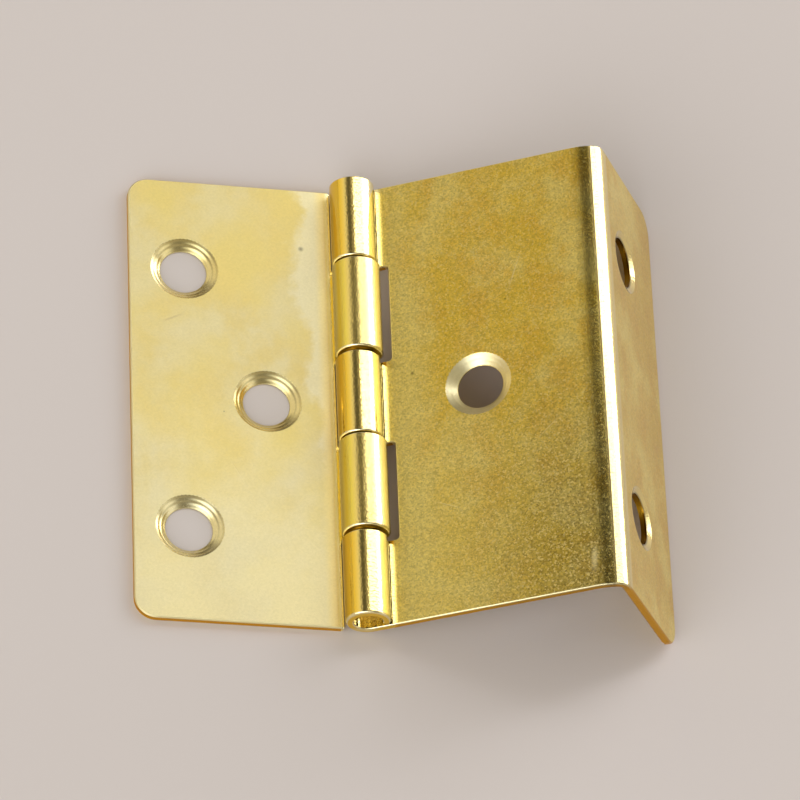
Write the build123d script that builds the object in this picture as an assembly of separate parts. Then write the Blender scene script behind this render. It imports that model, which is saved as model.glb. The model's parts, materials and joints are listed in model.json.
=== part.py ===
from build123d import *
import math
import os

# Three-panel cabinet hinge: a flat leaf, a leaf folded square into a panel and a flange, and their pin.
# Lengths are in millimetres and angles in degrees. X runs across the pin, Y along it and Z is up.
# The origin lies on the flat leaf's mounting plane, under the middle of the pin.

# Sheet and pin
hinge_length = 50.0
sheet = 0.9
pin_radius = 1.38
pin_end_recess = 2.0

# Knuckles: the folded leaf grips the pin, and the flat leaf turns on it with some play and hangs to one side
grip_clearance = 0.02
turning_clearance = 0.17
hanging_gap = 0.02
folded_knuckle_length = 9.4
knuckle_gap_above = 0.1
knuckle_gap_below = 0.3
curl_end_gap = 0.25

# Flat leaf, measured from the pin's axis
flat_reach = 23.0
flat_corner_radius = 2.2
flat_slot_clearance = 0.22
outer_hole_edge_inset = 5.7
middle_hole_distance = 9.1

# Folded leaf, measured from the pin's axis along the panel and from the fold's corner down the flange
panel_reach = 26.1
flange_length = 17.05
fold_inner_radius = 0.55
fold_start_inner_radius = 5.0
fold_start_angle = 20.0
flange_corner_radius = 2.5
folded_slot_clearance = 0.45
panel_hole_distance = 12.1
flange_hole_distance = 7.3
hole_end_inset = 10.3

# Screw holes: full countersinks in the flat leaf and panel, only an eased rim in the flange
screw_hole_radius = 2.4
countersink_radius = 3.5
countersink_land = 0.15
flange_hole_radius = 2.6
flange_rim_radius = 3.25
flange_rim_depth = 0.3

# Stamped edges, eased on the shown face and on the back, which is the curl's outside
slot_corner_radius = 0.35
face_edge_ease = 0.16
back_edge_ease = 0.24

# Radii of the two kinds of knuckle
folded_bore = pin_radius + grip_clearance
folded_knuckle_radius = folded_bore + sheet
flat_bore = pin_radius + turning_clearance
flat_knuckle_radius = flat_bore + sheet
pin_height = flat_knuckle_radius
turning_shift = turning_clearance - hanging_gap
well_past_curl = 2 * max(flat_knuckle_radius, folded_knuckle_radius)

# Each leaf's slots clear the other leaf's knuckles, the flat leaf's with its shown face tucked under them
flat_slot_edge = math.sqrt((folded_knuckle_radius + flat_slot_clearance) ** 2 - flat_bore**2)
folded_slot_edge = flat_knuckle_radius + turning_shift + folded_slot_clearance
fold_outer_radius = fold_inner_radius + sheet
fold_start_outer_radius = fold_start_inner_radius + sheet

# Places along the pin: the folded leaf has the ends and the middle, and the flat leaf sits in its slots
half_length = hinge_length / 2
folded_slot_length = (hinge_length - 3 * folded_knuckle_length) / 2
folded_slot_tops = [half_length - folded_knuckle_length, -folded_knuckle_length / 2]
flat_knuckle_length = folded_slot_length - knuckle_gap_above - knuckle_gap_below
flat_knuckle_tops = [top - knuckle_gap_above for top in folded_slot_tops]
flat_knuckle_bottoms = [top - flat_knuckle_length for top in flat_knuckle_tops]
hole_offset = half_length - hole_end_inset

# At rest the flat leaf lies on its back, and the flange's eased inner edge touches the same plane
tip_along = panel_reach - sheet + back_edge_ease
tip_below = folded_bore + flange_length
rest_angle = math.degrees(
    math.atan2(tip_below, tip_along) - math.asin(pin_height / math.hypot(tip_along, tip_below))
)


def on_circle(radius, angle):
    """A point on a circle round the knuckle's centre."""
    return (radius * math.cos(math.radians(angle)), radius * math.sin(math.radians(angle)))


def curl_angle(outer, inner):
    """How far the sheet curls round the pin before its end comes close to the leaf's face."""
    return 270 + math.degrees(math.asin((inner - curl_end_gap) / outer))


def drawn_out(outline):
    """A closed outline across the pin, drawn out over the hinge's whole length."""
    return extrude(Plane.XZ * make_face(outline), amount=half_length, both=True)


def flat_strip():
    """Sheet that runs in from the left, under the pin, up its far side and back over the top."""
    outer, inner = flat_knuckle_radius, flat_bore
    turn = curl_angle(outer, inner)
    end = turn - 90
    reach = flat_reach + turning_shift
    return drawn_out(
        [
            Line((-reach, -outer), (0, -outer)),
            CenterArc((0, 0), outer, -90, turn),
            Line(on_circle(outer, end), on_circle(inner, end)),
            CenterArc((0, 0), inner, end, -turn),
            Line((0, -inner), (-reach, -inner)),
            Line((-reach, -inner), (-reach, -outer)),
        ]
    )


def folded_strip():
    """The same curl the other way round, then a panel, a square fold that starts softly and a flange."""
    outer, inner = folded_knuckle_radius, folded_bore
    turn = curl_angle(outer, inner)
    end = -90 - turn
    steep = 90 - fold_start_angle
    step_x, step_z = on_circle(fold_start_outer_radius - fold_outer_radius, steep)
    bend = panel_reach - fold_outer_radius
    start = (bend - step_x, -inner - fold_start_outer_radius)
    corner = (bend, start[1] + step_z)
    foot = -inner - flange_length
    back = panel_reach - sheet
    return drawn_out(
        [
            Line((0, -inner), (start[0], -inner)),
            CenterArc(start, fold_start_outer_radius, 90, -fold_start_angle),
            CenterArc(corner, fold_outer_radius, steep, -steep),
            Line((panel_reach, corner[1]), (panel_reach, foot)),
            Line((panel_reach, foot), (back, foot)),
            Line((back, foot), (back, corner[1])),
            CenterArc(corner, fold_inner_radius, 0, steep),
            CenterArc(start, fold_start_inner_radius, steep, fold_start_angle),
            Line((start[0], -outer), (0, -outer)),
            CenterArc((0, 0), outer, -90, -turn),
            Line(on_circle(outer, end), on_circle(inner, end)),
            CenterArc((0, 0), inner, end, turn),
        ]
    )


def slot(edge, past, low, high, face):
    """A cutter for one knuckle slot: rounded inner corners through the sheet, all the curl above its face."""
    outline = Pos((edge + past) / 2, (low + high) / 2) * Rectangle(abs(past - edge), high - low)
    inner = [corner for corner in outline.vertices() if abs(corner.X - edge) < 1e-6]
    through_sheet = extrude(fillet(inner, slot_corner_radius), amount=-well_past_curl)
    curl = Pos(0, (low + high) / 2) * Rectangle(2 * well_past_curl, high - low)
    above_sheet = extrude(curl, amount=2 * well_past_curl)
    return Pos(0, 0, face) * (through_sheet + above_sheet)


def screw_hole(radius, rim_radius, depth):
    """A screw hole's cutter: its rim lies on the face at the origin, and it points down."""
    slope = (rim_radius - radius) / depth
    rise = sheet
    rim = Cone(radius, rim_radius + slope * rise, depth + rise, align=(Align.CENTER, Align.CENTER, Align.MIN))
    return Pos(0, 0, -depth) * rim + Cylinder(radius, 4 * sheet)


def edges_at(solid, direction, **place):
    """Straight edges along one axis whose centres lie at the given coordinates."""
    found = solid.edges().filter_by(direction)
    for name, value in place.items():
        found = ShapeList(edge for edge in found if abs(getattr(edge.center(), name) - value) < 1e-6)
    return found


def curl_rims(solid, radius):
    """Round edges of one radius about the pin: easing them also eases the whole outline they run into."""
    rims = solid.edges().filter_by(GeomType.CIRCLE)
    return ShapeList(rim for rim in rims if abs(rim.radius - radius) < 1e-6 and abs(rim.arc_center.Z) < 1e-6)


def flat_leaf():
    """One stamped and rolled sheet with the second and fourth knuckles and three countersunk holes."""
    leaf = flat_strip()
    edge = flat_slot_edge + turning_shift
    reach = flat_reach + turning_shift
    overrun = half_length + 2 * slot_corner_radius
    lows = [flat_knuckle_tops[0], flat_knuckle_tops[1], -overrun]
    highs = [overrun, flat_knuckle_bottoms[0], flat_knuckle_bottoms[1]]
    for low, high in zip(lows, highs):
        leaf -= slot(-edge, well_past_curl, low, high, -flat_bore)
    for end in (half_length, -half_length):
        leaf = fillet(edges_at(leaf, Axis.Z, X=-reach, Y=end), flat_corner_radius)
        leaf = fillet(edges_at(leaf, Axis.Z, X=-edge, Y=end), slot_corner_radius)
    leaf = chamfer(curl_rims(leaf, flat_knuckle_radius), back_edge_ease)
    leaf = chamfer(curl_rims(leaf, flat_bore), face_edge_ease)
    hole = screw_hole(screw_hole_radius, countersink_radius, sheet - countersink_land)
    outer_x = flat_reach - outer_hole_edge_inset
    for x, y in ((outer_x, hole_offset), (middle_hole_distance, 0), (outer_x, -hole_offset)):
        leaf -= Pos(-x - turning_shift, y, -flat_bore) * hole
    return Pos(turning_shift, 0, pin_height) * leaf


def folded_leaf():
    """One stamped, rolled and folded sheet with the end and middle knuckles and three screw holes."""
    leaf = folded_strip()
    for top in folded_slot_tops:
        leaf -= slot(folded_slot_edge, -well_past_curl, top - folded_slot_length, top, -folded_bore)
    foot = -folded_bore - flange_length
    leaf = fillet(edges_at(leaf, Axis.X, Z=foot), flange_corner_radius)
    leaf = chamfer(curl_rims(leaf, folded_knuckle_radius), back_edge_ease)
    leaf = chamfer(curl_rims(leaf, folded_bore), face_edge_ease)
    panel_hole = screw_hole(screw_hole_radius, countersink_radius, sheet - countersink_land)
    leaf -= Pos(panel_hole_distance, 0, -folded_bore) * panel_hole
    flange_hole = Rot(0, 90, 0) * screw_hole(flange_hole_radius, flange_rim_radius, flange_rim_depth)
    for y in (hole_offset, -hole_offset):
        leaf -= Pos(panel_reach, y, -folded_bore - flange_hole_distance) * flange_hole
    return Pos(0, 0, pin_height) * Rot(0, -rest_angle, 0) * leaf


def hinge_pin():
    """A plain wire pin that stops short of the barrel's ends."""
    return Pos(0, 0, pin_height) * Rot(90, 0, 0) * Cylinder(pin_radius, hinge_length - 2 * pin_end_recess)


os.makedirs("parts", exist_ok=True)
export_step(flat_leaf(), "parts/flat_leaf.step")
export_step(folded_leaf(), "parts/folded_leaf.step")
export_step(hinge_pin(), "parts/hinge_pin.step")
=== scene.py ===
"""Looks of a brass tri-fold cabinet hinge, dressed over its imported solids.

Lengths are in metres, in the frame that the solids share: X runs across the pin, Y along it and
Z up. Patterns are laid out in millimetres, along each leaf's own face.
"""

import json
import logging
import math
from dataclasses import dataclass, field, replace
from enum import Enum
from typing import ClassVar

import bmesh
import bpy
from mathutils import Matrix, Vector

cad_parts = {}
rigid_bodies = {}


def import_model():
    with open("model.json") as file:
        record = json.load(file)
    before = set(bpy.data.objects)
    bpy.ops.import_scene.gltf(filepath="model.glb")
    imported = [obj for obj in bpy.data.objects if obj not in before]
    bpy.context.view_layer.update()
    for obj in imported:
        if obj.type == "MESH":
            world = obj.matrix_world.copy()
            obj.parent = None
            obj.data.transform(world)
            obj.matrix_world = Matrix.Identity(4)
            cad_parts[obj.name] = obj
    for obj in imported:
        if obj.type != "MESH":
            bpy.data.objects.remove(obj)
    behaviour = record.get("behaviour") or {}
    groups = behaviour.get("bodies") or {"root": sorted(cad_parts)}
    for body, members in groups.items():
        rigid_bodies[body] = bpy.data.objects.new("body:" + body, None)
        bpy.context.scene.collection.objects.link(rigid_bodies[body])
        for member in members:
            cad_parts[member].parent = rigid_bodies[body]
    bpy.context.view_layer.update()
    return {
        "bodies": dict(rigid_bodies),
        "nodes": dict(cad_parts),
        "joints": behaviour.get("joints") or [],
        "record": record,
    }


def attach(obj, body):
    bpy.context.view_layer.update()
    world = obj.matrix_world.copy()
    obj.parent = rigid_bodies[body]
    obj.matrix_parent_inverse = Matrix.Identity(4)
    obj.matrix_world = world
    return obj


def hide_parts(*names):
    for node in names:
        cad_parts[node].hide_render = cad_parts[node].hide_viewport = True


MM = 0.001
Triple = tuple[float, float, float]
Colour = Triple
Span = tuple[float, float]
log = logging.getLogger("hinge")


class Region(Enum):
    """Face attributes that mark where a leaf's finish differs."""

    CUT = "cut_edge"
    EASED = "eased_edge"


class Value:
    """One output of a node, with arithmetic that adds Math nodes."""

    def __init__(self, graph: "Graph", socket: bpy.types.NodeSocket) -> None:
        """Keep the graph that the output belongs to."""
        self.graph = graph
        self.socket = socket

    def __add__(self, other: "Term") -> "Value":
        """Sum of two values."""
        return self.graph.math("ADD", self, other)

    def __radd__(self, other: "Term") -> "Value":
        """Sum with a number on the left."""
        return self.graph.math("ADD", other, self)

    def __sub__(self, other: "Term") -> "Value":
        """Difference of two values."""
        return self.graph.math("SUBTRACT", self, other)

    def __rsub__(self, other: "Term") -> "Value":
        """Difference with a number on the left."""
        return self.graph.math("SUBTRACT", other, self)

    def __mul__(self, other: "Term") -> "Value":
        """Product of two values."""
        return self.graph.math("MULTIPLY", self, other)

    def __rmul__(self, other: "Term") -> "Value":
        """Product with a number on the left."""
        return self.graph.math("MULTIPLY", other, self)

    def __truediv__(self, other: "Term") -> "Value":
        """Quotient of two values."""
        return self.graph.math("DIVIDE", self, other)

    def __neg__(self) -> "Value":
        """The value with its sign turned."""
        return 0.0 - self

    def __abs__(self) -> "Value":
        """Size of a value without its sign."""
        return self.graph.math("ABSOLUTE", self)

    def hypot(self, other: "Value") -> "Value":
        """Length of a vector with two parts."""
        return self.graph.math("POWER", self * self + other * other, 0.5)

    def step(self, low: float, high: float) -> "Value":
        """A smooth rise from 0 at one level to 1 at another."""
        settings = {"interpolation_type": "SMOOTHSTEP"}
        inputs = {"Value": self, "From Min": low, "From Max": high}
        return self.graph.node("ShaderNodeMapRange", settings, inputs)

    def hill(self, middle: float, reach: float) -> "Value":
        """A smooth hill of height 1 that falls to 0 at a distance on both sides."""
        return 1.0 - abs(self - middle).step(0.0, reach)

    def between(self, low: float, high: float) -> "Value":
        """A level that runs from one number to another as the value runs from 0 to 1."""
        return low + self * (high - low)


Term = Value | float | int


class Graph:
    """A node tree that is filled by expressions."""

    def __init__(self, tree: bpy.types.NodeTree) -> None:
        """Start from an empty tree."""
        self.tree = tree
        tree.nodes.clear()

    def node(
        self,
        kind: str,
        settings: dict | None = None,
        inputs: dict | None = None,
        output: str | int = 0,
    ) -> Value:
        """Add one node.

        Args:
            kind: Blender's name for the node's type.
            settings: Properties that are set first; "stops" fills a ramp with places and greys.
            inputs: Values or links by socket name or index.
            output: Name or index of the output that is wanted.

        Returns:
            The wanted output, or nothing inside if the node has no outputs.
        """
        made = self.tree.nodes.new(kind)
        for name, value in (settings or {}).items():
            if name == "stops":
                self._fill_ramp(made.color_ramp, value)
            else:
                setattr(made, name, value)
        for name, value in (inputs or {}).items():
            socket = made.inputs[name]
            if isinstance(value, Value):
                self.tree.links.new(value.socket, socket)
            else:
                socket.default_value = value
        return Value(self, made.outputs[output] if made.outputs else None)

    def math(self, operation: str, *terms: Term) -> Value:
        """A Math node on values and numbers."""
        return self.node("ShaderNodeMath", {"operation": operation}, dict(enumerate(terms)))

    def largest(self, first: Term, second: Term) -> Value:
        """The larger of two values."""
        return self.math("MAXIMUM", first, second)

    def split(self, vector: Value) -> tuple[Value, Value, Value]:
        """The three parts of a vector."""
        made = self.node("ShaderNodeSeparateXYZ", inputs={0: vector}).socket.node
        return tuple(Value(self, socket) for socket in made.outputs)

    def joined(self, x: Term, y: Term, z: Term) -> Value:
        """A vector from its three parts."""
        return self.node("ShaderNodeCombineXYZ", inputs={0: x, 1: y, 2: z})

    def scaled(self, vector: Value, scale: Triple) -> Value:
        """A vector multiplied part by part."""
        return self.node("ShaderNodeVectorMath", {"operation": "MULTIPLY"}, {0: vector, 1: scale})

    def mixed(
        self, share: Term, first: Value | Colour, second: Value | Colour, how: str = "MIX"
    ) -> Value:
        """Two colours mixed.

        Args:
            share: How much of the second colour shows.
            first: The colour underneath.
            second: The colour on top.
            how: Blender's name for the blend type.

        Returns:
            The mixed colour.
        """
        colours = [(*term, 1.0) if isinstance(term, tuple) else term for term in (first, second)]
        settings = {"data_type": "RGBA", "blend_type": how, "clamp_factor": True}
        return self.node("ShaderNodeMix", settings, {0: share, 6: colours[0], 7: colours[1]}, 2)

    def dimmed(self, colour: Value, level: Term) -> Value:
        """A colour multiplied by one level."""
        grey = self.node("ShaderNodeCombineColor", inputs={0: level, 1: level, 2: level})
        return self.mixed(1.0, colour, grey, "MULTIPLY")

    @staticmethod
    def _fill_ramp(ramp: bpy.types.ColorRamp, stops: list[Span]) -> None:
        """Set a ramp's stops from pairs of place and grey."""
        while len(ramp.elements) < len(stops):
            ramp.elements.new(1.0)
        for element, (place, grey) in zip(ramp.elements, stops):
            element.position = place
            element.color = (grey, grey, grey, 1.0)


@dataclass(frozen=True)
class Setting:
    """Where the hinge's pin and folded panel lie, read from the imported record."""

    pin_height: float
    panel_angle: float

    @classmethod
    def of(cls, frame: dict) -> "Setting":
        """Read the pin from the joint and the panel's slope from the axis of its screw hole."""
        axis = mount(frame, "panel_screw")["axis"]
        return cls(frame["joints"][0]["pos_m"][2], math.atan2(-axis[0], axis[2]))


@dataclass(frozen=True)
class Face:
    """A leaf's own coordinates in a shader, in millimetres from the pin's axis."""

    graph: Graph
    spot: Value
    x: Value
    rise: Value
    along: Value
    across: Value
    above: Value

    @classmethod
    def of(cls, graph: Graph, setting: Setting, lean: float) -> "Face":
        """Turn Object coordinates about the pin until they lie along a leaf.

        Args:
            graph: The material's node tree.
            setting: Where the pin lies and how far the panel slopes.
            lean: 1 for the leaf that slopes with the panel and 0 for one that lies flat.

        Returns:
            The coordinates: along the leaf, across it, which is along the pin, and above it.
        """
        spot = graph.scaled(graph.node("ShaderNodeTexCoord", output="Object"), (1.0 / MM,) * 3)
        x, across, z = graph.split(spot)
        rise = z - setting.pin_height / MM
        turn = setting.panel_angle * lean
        along = x * math.cos(turn) + rise * math.sin(turn)
        above = rise * math.cos(turn) - x * math.sin(turn)
        return cls(graph, spot, x, rise, along, across, above)

    def region(self, region: Region) -> Value:
        """1 where a face carries a mark, and 0 elsewhere."""
        settings = {"attribute_name": region.value}
        return self.graph.node("ShaderNodeAttribute", settings, output="Fac")


@dataclass(frozen=True)
class Noise:
    """One kind of soft noise: how large its patches are, how fine, how stretched and how sharp."""

    size: float
    detail: float
    rough: float
    stretch: Triple = (1.0, 1.0, 1.0)
    edge: Span | None = None

    def at(self, face: Face, unit: float = 1.0) -> Value:
        """The noise on a leaf, with its size counted in a unit of so many millimetres."""
        spot = face.graph.scaled(face.spot, self.stretch)
        inputs = {"Vector": spot, "Scale": 1.0 / (self.size * unit), "Detail": self.detail,
                  "Roughness": self.rough}
        raw = face.graph.node("ShaderNodeTexNoise", {"noise_dimensions": "3D"}, inputs)
        return raw.step(*self.edge) if self.edge else raw


CLOUDS = Noise(1.0, 3.0, 0.55, edge=(0.36, 0.66))
WARM_CLOUDS = Noise(0.55, 4.0, 0.6, stretch=(1.0, 0.8, 1.0), edge=(0.42, 0.68))
# Ragged edge of the painted sheen
SHEEN_EDGE = Noise(5.0, 4.0, 0.6)
GRAIN = Noise(1.0, 5.0, 0.75)
ORANGE_PEEL = Noise(0.22, 1.0, 0.5)
DRAWN_LINES = Noise(1.0, 4.0, 0.6, stretch=(0.4, 4.0, 0.4))


@dataclass(frozen=True)
class Scratch:
    """One scratch on a leaf's face: its middle in millimetres, its lie in degrees and its size."""

    along: float
    across: float
    lie: float
    length: float
    width: float = 0.09
    weight: float = 1.0

    def mask(self, face: Face) -> Value:
        """How much of the scratch shows at a place on the face."""
        turn = math.radians(self.lie)
        near, far = face.along - self.along, face.across - self.across
        run = near * math.cos(turn) + far * math.sin(turn)
        off = far * math.cos(turn) - near * math.sin(turn)
        return off.hill(0.0, self.width) * run.hill(0.0, self.length / 2) * self.weight


@dataclass(frozen=True)
class Pit:
    """One small dark pit in a leaf's lacquer: its middle and its radius in millimetres."""

    along: float
    across: float
    radius: float

    def mask(self, face: Face) -> Value:
        """How much of the pit shows at a place on the face."""
        away = (face.along - self.along).hypot(face.across - self.across)
        return away.hill(0.0, self.radius)


@dataclass(frozen=True)
class FoldZones:
    """Masks round a leaf's fold and the holes in its flange; all are 0 on a leaf without them."""

    crest: Term = 0.0
    brow: Term = 0.0
    burnished: Term = 0.0
    painted_shade: Term = 0.0
    hole_wall: Term = 0.0


@dataclass(frozen=True)
class Fold:
    """Where the folded leaf bends and where its flange is pierced, in millimetres on the leaf."""

    corner_along: float = 24.65
    corner_above: float = -3.12
    bend: Span = (1.5, 1.8)
    crest: Span = (0.15, 0.45)
    brow: Span = (-0.9, 0.1)
    burnish: Span = (23.3, 24.3)
    # Painted shade: a dark strip on the panel just before the fold
    painted_shade: Span = (23.7, 24.5)
    painted_shade_across: Span = (0.0, 25.0)
    painted_shade_levels: Span = (0.25, 0.55)
    hole_above: float = -8.7
    hole_across: float = 14.7
    hole_rim: Span = (3.2, 3.35)
    hole_wall: Span = (2.65, 2.8)
    hole_shade: float = 0.55
    flange_face: Span = (25.5, 25.7)

    def zones(self, face: Face, upper: Value) -> FoldZones:
        """Mark the fold and the flange's holes.

        Args:
            face: The leaf's coordinates.
            upper: 1 on the panel and 0 on the flange.

        Returns:
            The masks: the fold's crest with the holes' rims, which take a painted highlight, the
                crest's
            upper half, the polished strip and the painted shade strip before the fold, and the
            painted shade inside the holes.
        """
        near, low = face.along - self.corner_along, face.above - self.corner_above
        # The fold's crest: polished, and given the curls' colour and a painted highlight
        crest = (1.0 - near.hypot(low).step(*self.bend)) * near.step(*self.crest)
        brow = crest * (-low).step(*self.brow)
        burnished = face.along.step(*self.burnish) * upper
        # Painted shade in a strip on the panel before the fold, darker towards one end
        painted_shade = face.along.step(*self.painted_shade) * upper * (1.0 - crest)
        painted_shade = painted_shade * face.across.step(*self.painted_shade_across).between(*self.painted_shade_levels)
        off_hole = (face.above - self.hole_above).hypot(abs(face.across) - self.hole_across)
        # Painted highlight round each flange hole's rim
        rims = face.along.step(*self.flange_face) * (1.0 - off_hole.step(*self.hole_rim))
        walls = (1.0 - off_hole.step(*self.hole_wall)) * self.hole_shade
        flange = 1.0 - upper
        return FoldZones(crest + rims * flange, brow, burnished, painted_shade, walls * flange)


@dataclass(frozen=True)
class Layout:
    """Where the zones of every leaf lie, in millimetres from the pin's axis."""

    curl_reach: Span = (2.6, 3.1)
    bore_reach: Span = (1.6, 1.9)
    back_flank: Span = (2.0, 2.4)
    curl_wall: Span = (-1.6, -1.2)
    # Where painted bounce light starts on the left flank of each curl
    painted_bounce: Span = (1.0, 1.7)
    upper: Span = (-4.0, -2.2)
    dull_along: Span = (6.0, 25.0)
    dull_across: Span = (-8.0, 24.0)
    # Painted reflection of the barrel: a band on the plate just beside it
    barrel_reflection_middle: float = -2.7
    barrel_reflection_reach: float = 1.3


@dataclass(frozen=True)
class Zones:
    """Masks from 0 to 1 that say which part of a leaf a place belongs to."""

    curl: Value
    bore: Value
    highlit_flanks: Value
    wall: Value
    cut: Value
    eased: Value
    upper: Value
    dull: Value
    fold: FoldZones
    polished: Value


@dataclass(frozen=True)
class Texture:
    """The noise that one finish is made of."""

    patches: Value
    warm: Value
    grain: Value
    peel: Value
    drawn: Value
    flake: Value
    # Picks the flakes that get a painted glint
    glint: Value


@dataclass(frozen=True)
class BrassFinish:
    """Lacquered brass plating on stamped sheet: satin plates, burnished curls, raw cut edges and
    painted light.
    """

    name: str

    # Colours
    plate: Colour
    plate_patch: Colour
    plate_warm: Colour
    curl: Colour
    cut: Colour
    # Colour of painted highlights on curls, bores, the fold, flange hole rims and upper eased
    # edges, and of real scratches
    rim: Colour
    # Colour of painted bounce light on the curls' left flanks and cut ends
    painted_bounce: Colour = (0.95, 0.62, 0.05)
    # Colour of the painted glints on single flakes
    glint: Colour = (0.96, 0.79, 0.30)
    # Colour of the painted sheen: a painted reflection of the barrel beside it, and paler plating
    # towards the lower end
    sheen: Colour = (0.84, 0.75, 0.43)

    # Places, in millimetres
    layout: Layout = Layout()
    fold: Fold | None = None
    lean: float = 0.0
    # Where the painted highlight starts on each curl's flank
    flank_span: Span = (1.1, 1.8)
    # Painted sheen: how far it reaches from the barrel, and towards the lower end
    sheen_span: Span = (-5.0, -3.5)
    sheen_slant: float = 0.08
    sheen_drift: float = 7.0
    low_sheen_span: Span = (-4.0, 20.0)
    low_sheen_drift: float = 4.0
    scratches: tuple[Scratch, ...] = ()
    pits: tuple[Pit, ...] = ()

    # Sizes and depths of the texture, in millimetres
    patch_size: float = 7.0
    grain_size: float = 0.3
    grain_depth: float = 0.012
    flake_size: float = 0.16
    curl_depth: float = 0.017
    drawn_depth: float = 0.3
    scratch_depth: float = 0.02

    # How much of each layer shows
    warm_share: float = 0.7
    # Painted sheen
    sheen_share: float = 0.7
    low_sheen_share: float = 0.55
    # Painted reflection of the barrel
    barrel_reflection_share: float = 0.85
    # Painted highlight on the fold's crest and round the flange holes
    crest_share: float = 0.4
    crest_polish: float = 0.9
    scratch_share: float = 0.6
    pit_share: float = 0.6
    speckle: float = 0.12
    speckle_dull: Span = (0.75, 1.35)
    speckle_flange: float = 0.55
    flake_share: float = 0.7
    grain_share: float = 0.4
    grain_edge: Span = (0.38, 0.62)
    # Painted glints: how many flakes glint and how sharply
    sparkle: float = 0.0
    sparkle_edge: Span = (0.7, 1.0)
    tarnish: float = 0.0
    # Painted shade: how far the whole flange is dimmed
    flange_shade: float = 0.91

    # Roughness
    coat: float = 0.3
    coat_roughness: float = 0.08
    plate_roughness: float = 0.42
    curl_roughness: float = 0.075
    patch_roughness: float = 0.06
    grain_roughness: float = 0.16
    drawn_roughness: float = 0.08
    cut_roughness: float = 0.12
    brow_roughness: float = 0.2
    scratch_roughness: float = 0.25
    burnish: float = 0.55

    def material(self, setting: Setting) -> bpy.types.Material:
        """Make the finish as a material.

        Args:
            setting: Where the pin lies, round which the curls run.

        Returns:
            A node material on Object coordinates.
        """
        made = bpy.data.materials.new(self.name)
        made.use_nodes = True
        graph = Graph(made.node_tree)
        face = Face.of(graph, setting, self.lean)
        zones = self._zones(face)
        texture = self._texture(face)
        worn = self._marked(self.scratches, face)
        pitted = self._marked(self.pits, face)
        colour = self._shaded(self._plated(face, zones, texture), zones, texture)
        colour = graph.mixed(worn * self.scratch_share, colour, self.rim)
        colour = graph.dimmed(colour, 1.0 - pitted * self.pit_share)
        rough = self._roughness(zones, texture) + worn * self.scratch_roughness
        height = self._height(zones, texture) - worn * self.scratch_depth
        bump = {"Strength": 1.0, "Distance": MM, "Height": height}
        surface = graph.node(
            "ShaderNodeBsdfPrincipled",
            inputs={
                "Base Color": colour,
                "Roughness": rough,
                "Metallic": 1.0,
                "Normal": graph.node("ShaderNodeBump", inputs=bump),
                "Coat Weight": (1.0 - zones.cut) * self.coat,
                "Coat Roughness": self.coat_roughness,
            },
        )
        graph.node("ShaderNodeOutputMaterial", inputs={"Surface": surface})
        return made

    def _zones(self, face: Face) -> Zones:
        """Tell plates, curls, edges and the fold apart."""
        layout = self.layout
        radius = face.x.hypot(face.rise)
        curl = 1.0 - radius.step(*layout.curl_reach)
        wall = curl * face.rise.step(*layout.curl_wall)
        upper = face.above.step(*layout.upper)
        # Painted highlights on both flanks of each curl
        highlit_flanks = face.graph.largest(
            face.x.step(*self.flank_span), (-face.along).step(*layout.back_flank)
        )
        tarnished = face.along.step(*layout.dull_along) * (-face.across).step(*layout.dull_across)
        fold = self.fold.zones(face, upper) if self.fold else FoldZones()
        return Zones(
            curl=curl,
            bore=1.0 - radius.step(*layout.bore_reach),
            highlit_flanks=curl * highlit_flanks,
            wall=wall,
            cut=face.region(Region.CUT) * (1.0 - curl + wall),
            eased=face.region(Region.EASED),
            upper=upper,
            dull=tarnished * upper,
            fold=fold,
            polished=curl + fold.crest * self.crest_polish,
        )

    def _texture(self, face: Face) -> Texture:
        """Make the clouds, the grain, the flakes and the lines drawn round the curls."""
        inputs = {"Vector": face.spot, "Scale": 1.0 / self.flake_size}
        flakes = face.graph.node("ShaderNodeTexVoronoi", None, inputs, "Color")
        # flake sets the speckle; glint picks the flakes that get a painted glint
        flake, glint, _ = face.graph.split(flakes)
        return Texture(
            patches=CLOUDS.at(face, self.patch_size),
            warm=WARM_CLOUDS.at(face, self.patch_size),
            grain=GRAIN.at(face, self.grain_size),
            peel=ORANGE_PEEL.at(face),
            drawn=DRAWN_LINES.at(face),
            flake=flake,
            glint=glint,
        )

    def _plated(self, face: Face, zones: Zones, texture: Texture) -> Value:
        """Colour of the plating, laid on from the plate's clouds up to the raw edges, with painted
        light.
        """
        graph, layout = face.graph, self.layout
        # Painted reflection of the barrel, in a band on the plate just beside it
        barrel_reflection = face.along.hill(layout.barrel_reflection_middle, layout.barrel_reflection_reach)
        layers = (
            (texture.warm * self.warm_share, self.plate_warm),
            # Painted sheen and painted reflection of the barrel
            (self._painted_sheen(face, zones), self.sheen),
            (barrel_reflection * self.barrel_reflection_share, self.curl),
            (zones.polished, self.curl),
            # Painted highlight on the fold's crest and round the flange holes
            (zones.fold.crest * self.crest_share, self.rim),
            # Painted bounce light on the curl's left flank
            (zones.wall * (-face.x).step(*layout.painted_bounce), self.painted_bounce),
            # Painted highlights on the curls' flanks and in their bores
            (graph.largest(zones.highlit_flanks, zones.bore), self.rim),
            # Cut edges in their own colour, with painted bounce light on the curls' cut ends
            (zones.cut, graph.mixed(zones.curl, self.cut, self.painted_bounce)),
            # Eased edges: painted highlight on the plates, cut colour on the flange
            (zones.eased, graph.mixed(zones.upper, self.cut, self.rim)),
        )
        colour = graph.mixed(texture.patches, self.plate, self.plate_patch)
        for share, layer in layers:
            colour = graph.mixed(share, colour, layer)
        return colour

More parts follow.
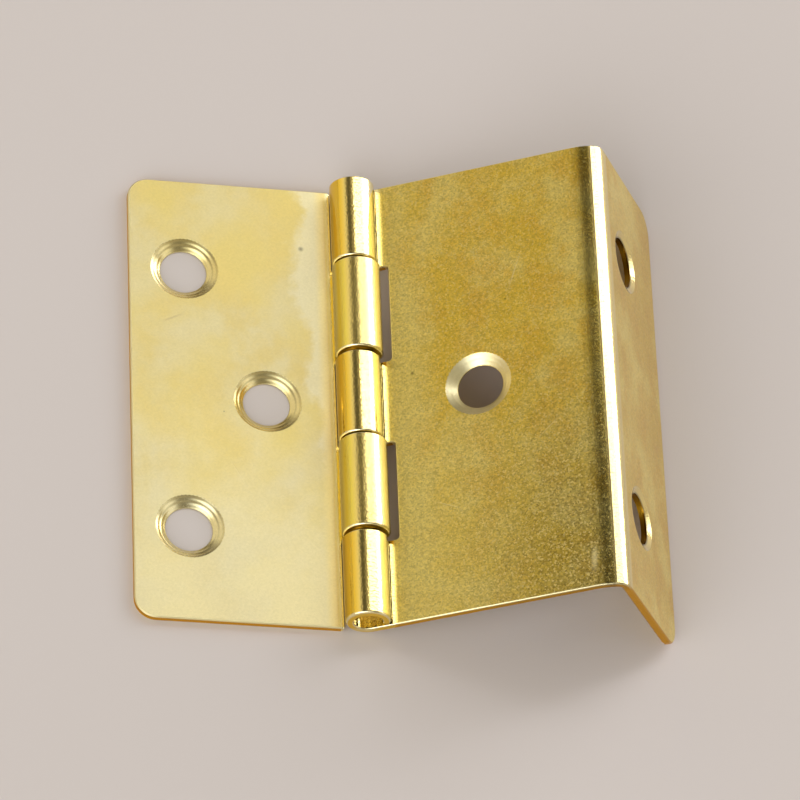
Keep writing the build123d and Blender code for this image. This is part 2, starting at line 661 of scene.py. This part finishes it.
    def _painted_sheen(self, face: Face, zones: Zones) -> Value:
        """Painted sheen: how much paler the plating is beside the barrel and towards the lower end.
        """
        drift = (SHEEN_EDGE.at(face) - 0.5) * self.sheen_drift
        side = (face.along + face.across * self.sheen_slant + drift).step(*self.sheen_span)
        low = (drift * self.low_sheen_drift - face.across).step(*self.low_sheen_span)
        sheen_level = face.graph.largest(side * self.sheen_share, low * self.low_sheen_share)
        return sheen_level * zones.upper * (1.0 - zones.dull)

    def _shaded(self, colour: Value, zones: Zones, texture: Texture) -> Value:
        """Dim a colour by grain, tarnish and painted shade, and paint glints on single flakes of
        open faces.
        """
        upper, fold = zones.upper, zones.fold
        bare = zones.dull.between(*self.speckle_dull) * upper.between(self.speckle_flange, 1.0)
        bare = bare * (1.0 - zones.polished) * (1.0 - zones.cut) * (1.0 - zones.eased)
        specks = texture.grain.step(*self.grain_edge) * self.grain_share
        specks = specks + texture.flake * self.flake_share
        shade = 1.0 - specks * self.speckle * bare
        # Tarnish on the panel, and painted shade that dims the whole flange
        shade = shade * (1.0 - zones.dull * self.tarnish) * upper.between(self.flange_shade, 1.0)
        # Painted shade before the fold and inside the flange's holes
        shade = shade * (1.0 - fold.painted_shade) * (1.0 - fold.hole_wall)
        # Painted glints: single flakes mixed towards a bright colour
        glints = texture.glint.step(*self.sparkle_edge) * self.sparkle * bare
        return colour.graph.mixed(glints, colour.graph.dimmed(colour, shade), self.glint)

    def _roughness(self, zones: Zones, texture: Texture) -> Value:
        """Satin on the plates and smooth on the curls, with a duller upper half to the crest."""
        plate = self.plate_roughness * (1.0 - zones.fold.burnished * self.burnish)
        plate = (texture.patches - 0.5) * self.patch_roughness + plate
        plate = (texture.grain - 0.5) * self.grain_roughness + plate
        curl = (texture.drawn - 0.5) * self.drawn_roughness + self.curl_roughness
        edges = zones.cut * self.cut_roughness + zones.fold.brow * self.brow_roughness
        return plate * (1.0 - zones.polished) + curl * zones.polished + edges

    def _height(self, zones: Zones, texture: Texture) -> Value:
        """Height of the grain on the plates and of the drawn lines on the curls."""
        plate = texture.grain * self.grain_depth
        curl = (texture.drawn * self.drawn_depth + texture.peel) * self.curl_depth
        return plate * (1.0 - zones.polished) + curl * zones.polished

    @staticmethod
    def _marked(marks: tuple[Scratch | Pit, ...], face: Face) -> Term:
        """All marks of one kind together, or 0 where the finish has none."""
        return sum((mark.mask(face) for mark in marks), 0.0)


@dataclass(frozen=True)
class PlainFinish:
    """A plain pale surface for the floor."""

    name: str
    colour: Colour
    roughness: float
    specular: float = 0.2

    def material(self) -> bpy.types.Material:
        """Make the finish as a material."""
        made = bpy.data.materials.new(self.name)
        made.use_nodes = True
        graph = Graph(made.node_tree)
        inputs = {
            "Base Color": (*self.colour, 1.0),
            "Roughness": self.roughness,
            "Specular IOR Level": self.specular,
        }
        surface = graph.node("ShaderNodeBsdfPrincipled", None, inputs)
        graph.node("ShaderNodeOutputMaterial", inputs={"Surface": surface})
        return made


PALE_BRASS = BrassFinish(
    "pale lacquered brass",
    plate=(0.715, 0.555, 0.15),
    plate_patch=(0.775, 0.655, 0.30),
    plate_warm=(0.74, 0.56, 0.145),
    curl=(0.92, 0.71, 0.22),
    cut=(0.70, 0.36, 0.02),
    rim=(0.95, 0.82, 0.42),
    painted_bounce=(0.95, 0.74, 0.10),
    flank_span=(0.3, 1.2),
    plate_roughness=0.45,
    curl_roughness=0.22,
    curl_depth=0.028,
    patch_size=11.0,
    grain_depth=0.006,
    speckle=0.1,
    scratches=(Scratch(-18.6, 8.9, 25.0, 3.2), Scratch(-12.5, -8.0, -60.0, 4.0, 0.07, 0.5)),
    pits=(Pit(-5.2, 18.0, 0.4), Pit(-13.6, -1.5, 0.12)),
)
DEEP_BRASS = BrassFinish(
    "deep lacquered brass",
    plate=(0.92, 0.635, 0.07),
    plate_patch=(0.98, 0.77, 0.20),
    plate_warm=(0.88, 0.55, 0.06),
    curl=(0.92, 0.71, 0.22),
    cut=(0.70, 0.36, 0.02),
    rim=(0.95, 0.82, 0.42),
    # Painted reflection of the barrel, paler near it
    sheen=(0.99, 0.81, 0.23),
    sheen_span=(9.0, 3.5),
    fold=Fold(),
    lean=1.0,
    plate_roughness=0.34,
    patch_size=6.0,
    grain_depth=0.03,
    speckle=0.5,
    # Painted glints on the panel
    sparkle=0.5,
    tarnish=0.3,
    scratches=(
        Scratch(16.5, 12.0, 70.0, 6.0),
        Scratch(19.2, -6.5, 40.0, 4.5, 0.08, 0.8),
        Scratch(8.4, -13.0, -25.0, 5.0, 0.08, 0.7),
        Scratch(23.1, -22.0, 85.0, 4.0, 0.5, 1.0),
    ),
    pits=(Pit(5.2, 2.65, 0.3), Pit(15.4, 9.0, 0.15)),
)
TURNED_BRASS = BrassFinish(
    "turned brass",
    plate=(0.84, 0.69, 0.29),
    plate_patch=(0.86, 0.72, 0.34),
    plate_warm=(0.80, 0.64, 0.23),
    curl=(0.84, 0.69, 0.29),
    cut=(0.70, 0.36, 0.02),
    rim=(0.95, 0.82, 0.42),
    plate_roughness=0.23,
    grain_depth=0.004,
    speckle=0.1,
)
DULL_TURNED_BRASS = replace(
    TURNED_BRASS,
    name="dull turned brass",
    plate=(0.92, 0.74, 0.31),
    plate_patch=(0.93, 0.77, 0.36),
    plate_warm=(0.90, 0.70, 0.26),
    plate_roughness=0.4,
)
WIRE_BRASS = BrassFinish(
    "drawn brass wire",
    plate=(0.85, 0.70, 0.30),
    plate_patch=(0.88, 0.74, 0.34),
    plate_warm=(0.82, 0.66, 0.26),
    curl=(0.85, 0.70, 0.30),
    cut=(0.6, 0.4, 0.1),
    rim=(0.88, 0.74, 0.36),
)
PALE_FLOOR = PlainFinish("pale floor", (0.68, 0.605, 0.53), 0.6)


def mount(frame: dict, name: str) -> dict:
    """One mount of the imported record, by name."""
    return next(item for item in frame["record"]["mounts"] if item["name"] == name)


def linked(name: str, mesh: bpy.types.Mesh) -> bpy.types.Object:
    """Put a mesh into the scene as an object at the origin."""
    made = bpy.data.objects.new(name, mesh)
    bpy.context.scene.collection.objects.link(made)
    return made


@dataclass
class Skin:
    """A solid's surface as one mesh, with eased edges shaded round and cut edges marked."""

    node: bpy.types.Object
    name: str
    ease_width: float = 0.4 * MM
    cut_width: float = 0.65 * MM
    same_place: float = 0.002 * MM
    shortest_rim: float = 1e-9

    def build(self) -> bpy.types.Object:
        """Copy the solid's mesh, mark its cut and eased edges and set its corner normals.

        Returns:
            The new object, at the origin.
        """
        mesh = self.node.data.copy()
        mesh.name = self.name
        mesh.materials.clear()
        widths: dict[int, float] = {}
        for faces in self._patches(mesh):
            width = self._width(mesh, faces)
            widths.update((face, width) for face in faces)
        cut = mesh.attributes.new(Region.CUT.value, "FLOAT", "FACE")
        eased = mesh.attributes.new(Region.EASED.value, "FLOAT", "FACE")
        for face, width in widths.items():
            cut.data[face].value = float(self.ease_width <= width < self.cut_width)
            eased.data[face].value = float(width < self.ease_width)
        self._round_eased(mesh, widths)
        return linked(self.name, mesh)

    def _round_eased(self, mesh: bpy.types.Mesh, widths: dict[int, float]) -> None:
        """Let the narrow eased faces take the normals of the wide faces that they join."""
        corners = [Vector(item.vector) for item in mesh.corner_normals]
        steady: dict[tuple, Vector] = {}
        narrow: list[int] = []
        for polygon in mesh.polygons:
            polygon.use_smooth = True
            if widths[polygon.index] < self.ease_width:
                narrow.extend(polygon.loop_indices)
                continue
            for corner in polygon.loop_indices:
                steady.setdefault(self._key(mesh, corner), corners[corner])
        for corner in narrow:
            corners[corner] = steady.get(self._key(mesh, corner), corners[corner])
        mesh.normals_split_custom_set(corners)

    def _key(self, mesh: bpy.types.Mesh, corner: int) -> tuple:
        """A corner's place, rounded so that touching patches share it."""
        spot = mesh.vertices[mesh.loops[corner].vertex_index].co
        return tuple(round(part / self.same_place) for part in spot)

    @staticmethod
    def _patches(mesh: bpy.types.Mesh) -> list[list[int]]:
        """Group faces that share vertices: each face of the solid comes in as its own patch."""
        root = list(range(len(mesh.vertices)))

        def find(item: int) -> int:
            """The vertex that stands for a group."""
            while root[item] != item:
                root[item] = root[root[item]]
                item = root[item]
            return item

        for polygon in mesh.polygons:
            first = find(polygon.vertices[0])
            for other in polygon.vertices[1:]:
                root[find(other)] = first
        groups: dict[int, list[int]] = {}
        for polygon in mesh.polygons:
            groups.setdefault(find(polygon.vertices[0]), []).append(polygon.index)
        return list(groups.values())

    def _width(self, mesh: bpy.types.Mesh, faces: list[int]) -> float:
        """About how wide a patch is: twice its area over the length of its rim."""
        uses: dict[tuple, int] = {}
        area = 0.0
        for face in faces:
            polygon = mesh.polygons[face]
            area += polygon.area
            for key in polygon.edge_keys:
                uses[key] = uses.get(key, 0) + 1
        rim = [key for key, count in uses.items() if count == 1]
        length = sum((mesh.vertices[a].co - mesh.vertices[b].co).length for a, b in rim)
        return 2.0 * area / max(length, self.shortest_rim)


@dataclass
class TurnedCountersinks:
    """The tool's rings in the countersinks: a thin rippled lining, turned round each axis."""

    hole_radius: float = 2.4 * MM
    rim_radius: float = 3.5 * MM
    depth: float = 0.75 * MM
    rings: float = 2.5
    lift: float = 0.02 * MM
    ripple: float = 0.008 * MM
    same_place: float = 0.0005 * MM
    around: int = 97
    across: int = 65

    def build(
        self, name: str, centres: list[Vector], lean: float, material: bpy.types.Material
    ) -> bpy.types.Object:
        """Line the countersinks of one leaf.

        Args:
            name: Name of the new object.
            centres: Middles of the holes' rims, on the shown face.
            lean: How far the holes' axes lean about Y from upright.
            material: Finish of the lining.

        Returns:
            An object with a plain mesh, at the origin.
        """
        seeds = bpy.data.meshes.new(name)
        seeds.from_pydata([tuple(centre) for centre in centres], [], [])
        made = linked(name, seeds)
        sizes = {
            "Hole radius": self.hole_radius,
            "Rim radius": self.rim_radius,
            "Depth": self.depth,
            "Rings": self.rings,
            "Lift": self.lift,
            "Ripple": self.ripple,
            "Lean": lean,
        }
        tree = self._tree(material, list(sizes))
        modifier = made.modifiers.new("rings", "NODES")
        modifier.node_group = tree
        for item in tree.interface.items_tree:
            if item.in_out == "INPUT" and item.name in sizes:
                modifier[item.identifier] = sizes[item.name]
        drawn = made.evaluated_get(bpy.context.evaluated_depsgraph_get())
        mesh = bpy.data.meshes.new_from_object(drawn)
        made.modifiers.clear()
        made.data = mesh
        return made

    def _tree(self, material: bpy.types.Material, sizes: list[str]) -> bpy.types.NodeTree:
        """Make the tree that bends a grid round each hole.

        Args:
            material: Finish of the lining.
            sizes: Names of the tree's inputs, from the hole's radius to the axes' lean.

        Returns:
            A geometry tree that puts one lining on each vertex.
        """
        tree = bpy.data.node_groups.new("turned countersinks", "GeometryNodeTree")
        tree.interface.new_socket("Geometry", in_out="INPUT", socket_type="NodeSocketGeometry")
        for name in sizes:
            tree.interface.new_socket(name, in_out="INPUT", socket_type="NodeSocketFloat")
        tree.interface.new_socket("Geometry", in_out="OUTPUT", socket_type="NodeSocketGeometry")
        graph = Graph(tree)
        entry = graph.node("NodeGroupInput").socket.node
        wanted = entry.outputs[: len(sizes) + 1]
        seeds, hole, rim, depth, rings, lift, ripple, lean = (Value(graph, out) for out in wanted)

        counts = {"Vertices X": self.around, "Vertices Y": self.across}
        grid = graph.node("GeometryNodeMeshGrid", inputs={"Size X": 1.0, "Size Y": 1.0, **counts})
        u, v, _ = graph.split(graph.node("GeometryNodeInputPosition"))
        angle = (u + 0.5) * math.tau
        climb = 1.0 - abs(v * 2.0)
        swell = graph.math("SINE", (v + 0.5) * math.tau)
        wave = graph.math("COSINE", climb * rings * math.tau)
        offset = lift * swell + ripple * graph.largest(swell, 0.0) * wave
        span = rim - hole
        slant = span.hypot(depth)
        radius = hole + span * climb - depth / slant * offset
        height = depth * climb - depth + span / slant * offset
        x, y = radius * graph.math("COSINE", angle), radius * graph.math("SINE", angle)

        bent = {"Geometry": grid, "Position": graph.joined(x, y, height)}
        bent = graph.node("GeometryNodeSetPosition", inputs=bent)
        closed = {"Geometry": bent, "Distance": self.same_place}
        closed = graph.node("GeometryNodeMergeByDistance", inputs=closed)
        smooth = {"Geometry": closed, "Shade Smooth": True}
        smooth = graph.node("GeometryNodeSetShadeSmooth", inputs=smooth)
        placed = {"Points": seeds, "Instance": smooth, "Rotation": graph.joined(0.0, lean, 0.0)}
        placed = graph.node("GeometryNodeInstanceOnPoints", inputs=placed)
        whole = graph.node("GeometryNodeRealizeInstances", inputs={"Geometry": placed})
        dressed = {"Geometry": whole, "Material": material}
        dressed = graph.node("GeometryNodeSetMaterial", inputs=dressed)
        graph.node("NodeGroupOutput", inputs={"Geometry": dressed})
        return tree


@dataclass
class Leaf:
    """One leaf of the hinge: its skin, and the rings in its countersinks."""

    frame: dict
    sheet: float = 0.9 * MM
    pieces: list[bpy.types.Object] = field(default_factory=list)

    body: ClassVar[str]
    rings: ClassVar[str]
    slot: ClassVar[str]
    finish: ClassVar[BrassFinish]
    turned: ClassVar[BrassFinish]

    def build(self) -> None:
        """Make the leaf's skin and the rings in its countersinks."""
        setting = Setting.of(self.frame)
        material = self.finish.material(setting)
        skin = Skin(self.frame["nodes"][self.body], f"{self.body}_sheet").build()
        skin.data.materials.append(material)
        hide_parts(self.body)
        turned = self.turned.material(setting)
        lean = -setting.panel_angle * self.finish.lean
        rings = TurnedCountersinks().build(self.rings, self._rims(), lean, turned)
        self.pieces += [skin, rings]

    def dress(self) -> None:
        """Let the pieces ride on the leaf's body; they took its finish when they were built."""
        for piece in self.pieces:
            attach(piece, self.body)
            log.info("%s: %d faces", piece.name, len(piece.data.polygons))

    def _rims(self) -> list[Vector]:
        """Middles of the countersinks' rims, on the shown face."""
        raise NotImplementedError


class FlatLeaf(Leaf):
    """The leaf that lies flat: a plate with three countersunk holes and two knuckles."""

    body = "flat_leaf"
    rings = "flat_leaf_countersinks"
    slot = "flat_leaf_brass"
    finish = PALE_BRASS
    turned = TURNED_BRASS

    def _rims(self) -> list[Vector]:
        """Middles of the three rims: the outer pair, then the one near the pin."""
        pair = mount(self.frame, "flat_leaf_outer_screws")
        middle = mount(self.frame, "flat_leaf_middle_screw")
        spread = pair["dims"]["spacing_y_mm"] * MM / 2
        spots = [(pair["pos_m"][0], side * spread) for side in (1, -1)]
        spots.append((middle["pos_m"][0], 0.0))
        return [Vector((x, y, self.sheet)) for x, y in spots]


class FoldedLeaf(Leaf):
    """The leaf that wraps a door's edge: a panel, a square fold, a flange and three knuckles."""

    body = "folded_leaf"
    rings = "folded_leaf_countersink"
    slot = "folded_leaf_brass"
    finish = DEEP_BRASS
    turned = DULL_TURNED_BRASS

    def _rims(self) -> list[Vector]:
        """Middle of the panel's one rim."""
        screw = mount(self.frame, "panel_screw")
        face = self.sheet - screw["dims"]["length_mm"] * MM / 2
        return [Vector(screw["pos_m"]) + face * Vector(screw["axis"])]


@dataclass
class HingePin:
    """The plain wire pin, which the folded leaf's knuckles grip."""

    frame: dict
    finish: BrassFinish = WIRE_BRASS

    def dress(self) -> None:
        """Give the pin its finish."""
        pin = self.frame["nodes"]["hinge_pin"]
        pin.data.materials.clear()
        pin.data.materials.append(self.finish.material(Setting.of(self.frame)))
        log.info("%s: %d faces", pin.name, len(pin.data.polygons))


@dataclass(frozen=True)
class SoftBox:
    """A soft light far away on the dome: where it stands, its reach in degrees and its strength."""

    towards: Triple
    reach: float
    strength: float

    def level(self, graph: Graph, ray: Value) -> Value:
        """How much light comes from a direction."""
        terms = {0: ray, 1: self.towards}
        along = graph.node("ShaderNodeVectorMath", {"operation": "DOT_PRODUCT"}, terms, "Value")
        full = Vector(self.towards).length
        return along.step(math.cos(math.radians(self.reach)) * full, full) * self.strength


@dataclass
class Studio:
    """A plain pale floor, soft boxes along the pin and a camera at the photograph's angle."""

    target: Vector

    # Floor, in metres
    floor_reach: float = 4.0
    floor_drop: float = 0.02 * MM
    floor_sides: int = 96
    sweep_radius: float = 0.36
    sweep_steps: int = 16

    # Dome: pairs of lean from upright in degrees and brightness, and its dimmer ends along the pin
    dome_tint: Colour = (1.05, 0.98, 0.84)
    dome_levels: tuple[Span, ...] = (
        (-100, 0.7), (-62, 0.86), (-52, 0.82), (-45, 0.62), (-38, 0.25),
        (-32, 0.1), (-22, 0.12), (-12, 0.38), (0, 0.4), (100, 0.4),
    )
    far_end: Span = (0.72, 0.95)
    far_loss: float = 0.6
    near_end: Span = (0.4, 0.65)
    near_loss: float = 0.45

    # Long strip light over the barrel, and boxes round it
    strip_tint: Colour = (0.93, 0.98, 1.14)
    strip_strength: float = 3.7
    strip_height: float = 0.48
    strip_width: float = 0.127
    strip_start: Span = (-10.0, 3.0)
    strip_end: Span = (95.0, 110.0)
    boxes: tuple[SoftBox, ...] = (
        SoftBox((0.74, 0.6, 0.2), 33.0, 3.0),
        SoftBox((-0.64, -0.6, 0.48), 36.0, 2.4),
        SoftBox((-0.25, -0.86, 0.38), 34.0, 1.35),
        SoftBox((0.9, -0.3, 0.35), 30.0, 0.8),
    )

    # Camera, with the hinge's shift from the picture's middle and the focal length in pixels
    camera_right: Triple = (0.9786, -0.0343, 0.2029)
    camera_up: Triple = (-0.0682, 0.8763, 0.4769)
    camera_back: Triple = (-0.1942, -0.4805, 0.8552)
    camera_distance: float = 0.5769
    camera_lens: float = 258.5
    camera_sensor: float = 36.0
    camera_nearest: float = 0.01
    shift_pixels: float = 40.325
    focal_pixels: float = 5745.0

    def build(self) -> None:
        """Make the floor, the light and the camera."""
        self._floor()
        self._light()
        self._camera()
        bpy.context.scene.view_settings.view_transform = "Standard"

    def _floor(self) -> None:
        """Lay a plain floor just under the hinge, swept up into a low wall all round."""
        shape = bmesh.new()
        turns = [math.tau * side / self.floor_sides for side in range(self.floor_sides)]
        rings = []
        for step in range(self.sweep_steps + 1):
            climb = math.pi / 2 * step / self.sweep_steps
            reach = self.floor_reach + self.sweep_radius * math.sin(climb)
            height = self.sweep_radius * (1.0 - math.cos(climb)) - self.floor_drop
            spots = [(reach * math.cos(turn), reach * math.sin(turn), height) for turn in turns]
            rings.append([shape.verts.new(spot) for spot in spots])
        shape.faces.new(rings[0])
        for inner, outer in zip(rings, rings[1:]):
            for side in range(self.floor_sides):
                after = (side + 1) % self.floor_sides
                corners = (inner[side], outer[side], outer[after], inner[after])
                shape.faces.new(corners).smooth = True
        mesh = bpy.data.meshes.new("floor")
        shape.to_mesh(mesh)
        shape.free()
        floor = linked("floor", mesh)
        floor.data.materials.append(PALE_FLOOR.material())

    def _light(self) -> None:
        """Light the hinge by a dome with a strip light and soft boxes."""
        world = bpy.data.worlds.new("studio")
        world.use_nodes = True
        bpy.context.scene.world = world
        graph = Graph(world.node_tree)
        ray = graph.node("ShaderNodeTexCoord", output="Generated")
        x, y, z = graph.split(ray)
        lean = graph.math("ARCTAN2", x, z) * math.degrees(1.0)
        lamps = lean.step(*self.strip_start) * (1.0 - lean.step(*self.strip_end))
        lamps = lamps * y.hill(self.strip_height, self.strip_width) * self.strip_strength
        for box in self.boxes:
            lamps = lamps + box.level(graph, ray)
        lights = ((self.dome_tint, self._dome(graph, lean, y)), (self.strip_tint, lamps))
        walls, strips = (
            graph.node("ShaderNodeBackground", inputs={"Color": (*tint, 1.0), "Strength": level})
            for tint, level in lights
        )
        soft = graph.node("ShaderNodeAddShader", inputs={0: walls, 1: strips})
        graph.node("ShaderNodeOutputWorld", inputs={"Surface": soft})

    def _dome(self, graph: Graph, lean: Value, y: Value) -> Value:
        """Brightness of the dome: banded round the pin, and dimmer at both of its ends."""
        stops = [((angle + 180) / 360, level) for angle, level in self.dome_levels]
        around = {"Fac": (lean + 180.0) / 360.0}
        bands = graph.node("ShaderNodeValToRGB", {"stops": stops}, around)
        level = graph.node("ShaderNodeRGBToBW", inputs={0: bands})
        level = level * (1.0 - y.step(*self.far_end) * self.far_loss)
        return level * (1.0 - (-y).step(*self.near_end) * self.near_loss)

    def _camera(self) -> None:
        """Stand the camera where the photograph was taken from."""
        data = bpy.data.cameras.new("camera")
        data.lens = self.camera_lens
        data.sensor_width = self.camera_sensor
        data.clip_start = self.camera_nearest
        camera = bpy.data.objects.new("camera", data)
        bpy.context.scene.collection.objects.link(camera)
        away = Vector(self.camera_back)
        shift = self.shift_pixels / self.focal_pixels * Vector(self.camera_right)
        back = (away - shift).normalized()
        right = Vector(self.camera_up).cross(back).normalized()
        turn = Matrix((right, back.cross(right), back)).transposed().to_4x4()
        place = Matrix.Translation(self.target + self.camera_distance * away)
        camera.matrix_world = place @ turn
        bpy.context.scene.camera = camera


def main() -> None:
    """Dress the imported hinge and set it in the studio."""
    logging.basicConfig(level=logging.INFO, format="%(name)s: %(message)s")
    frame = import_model()
    for leaf in (FlatLeaf(frame), FoldedLeaf(frame)):
        leaf.build()
        leaf.dress()
    HingePin(frame).dress()
    Studio(Vector((0.0, 0.0, Setting.of(frame).pin_height))).build()


if __name__ == "__main__":
    main()
